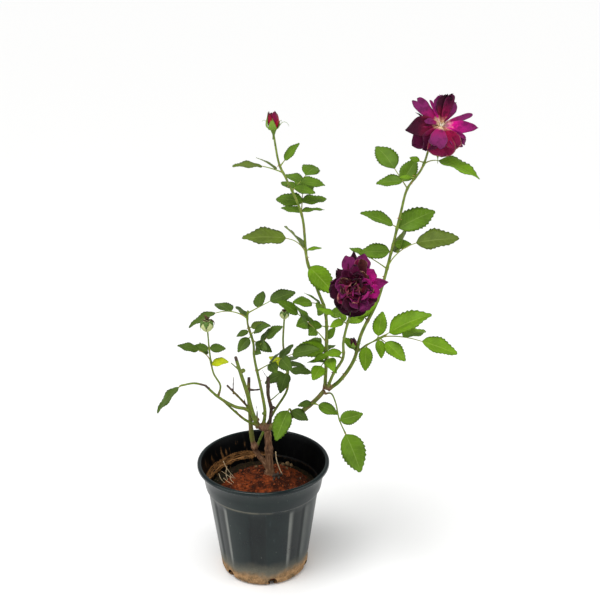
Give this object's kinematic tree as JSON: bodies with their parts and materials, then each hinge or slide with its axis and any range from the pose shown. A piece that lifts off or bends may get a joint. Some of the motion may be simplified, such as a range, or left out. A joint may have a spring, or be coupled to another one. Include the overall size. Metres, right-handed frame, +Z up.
{
  "type": "potted rose bush",
  "caption": "Patio rose in a round black nursery pot, with bare pruned stems, leafy canes, open plum blooms, a bud and round hips.",
  "frame": {"origin": "middle of the pot's flat underside", "axes": "+Z up, +X across the front towards the tall cane, +Y towards the back"},
  "size_m": [0.4547, 0.2252, 0.7184],
  "materials": {
    "pot": "satin",
    "soil": "matt",
    "bark": "matt",
    "green_cane": "satin",
    "dead_wood": "matt",
    "petal": "matt",
    "dark_petal": "matt",
    "bud": "satin",
    "hip": "satin",
    "leaf": "satin"
  },
  "bodies": {
    "root": {"pot": "pot", "soil": "soil", "trunk": "bark", "side_stem": "bark", "bough_right": "bark", "bough_left_low": "bark", "bough_back": "green_cane", "bough_left": "green_cane", "stub_green": "green_cane", "bough_centre": "green_cane", "cane_left": "green_cane", "cane_front": "green_cane", "cane_tall": "green_cane", "stub_dead": "dead_wood", "twig_dead": "dead_wood", "bloom_top": "petal", "bloom_front": "dark_petal", "bud": "bud", "hip_left": "hip", "hip_back": "hip", "foliage_left_low": "leaf", "foliage_left_mid": "leaf", "foliage_left_top": "leaf", "foliage_front": "leaf", "foliage_tall_low": "leaf", "foliage_tall_mid": "leaf", "foliage_tall_top": "leaf", "foliage_centre_low": "leaf", "foliage_centre_top": "leaf", "foliage_back": "leaf", "foliage_hip": "leaf", "foliage_right_spray": "leaf", "leaf_far_left": "leaf", "leaf_hanging": "leaf", "foliage_fork": "leaf", "leaf_drooping": "leaf"}
  },
  "joints": []
}
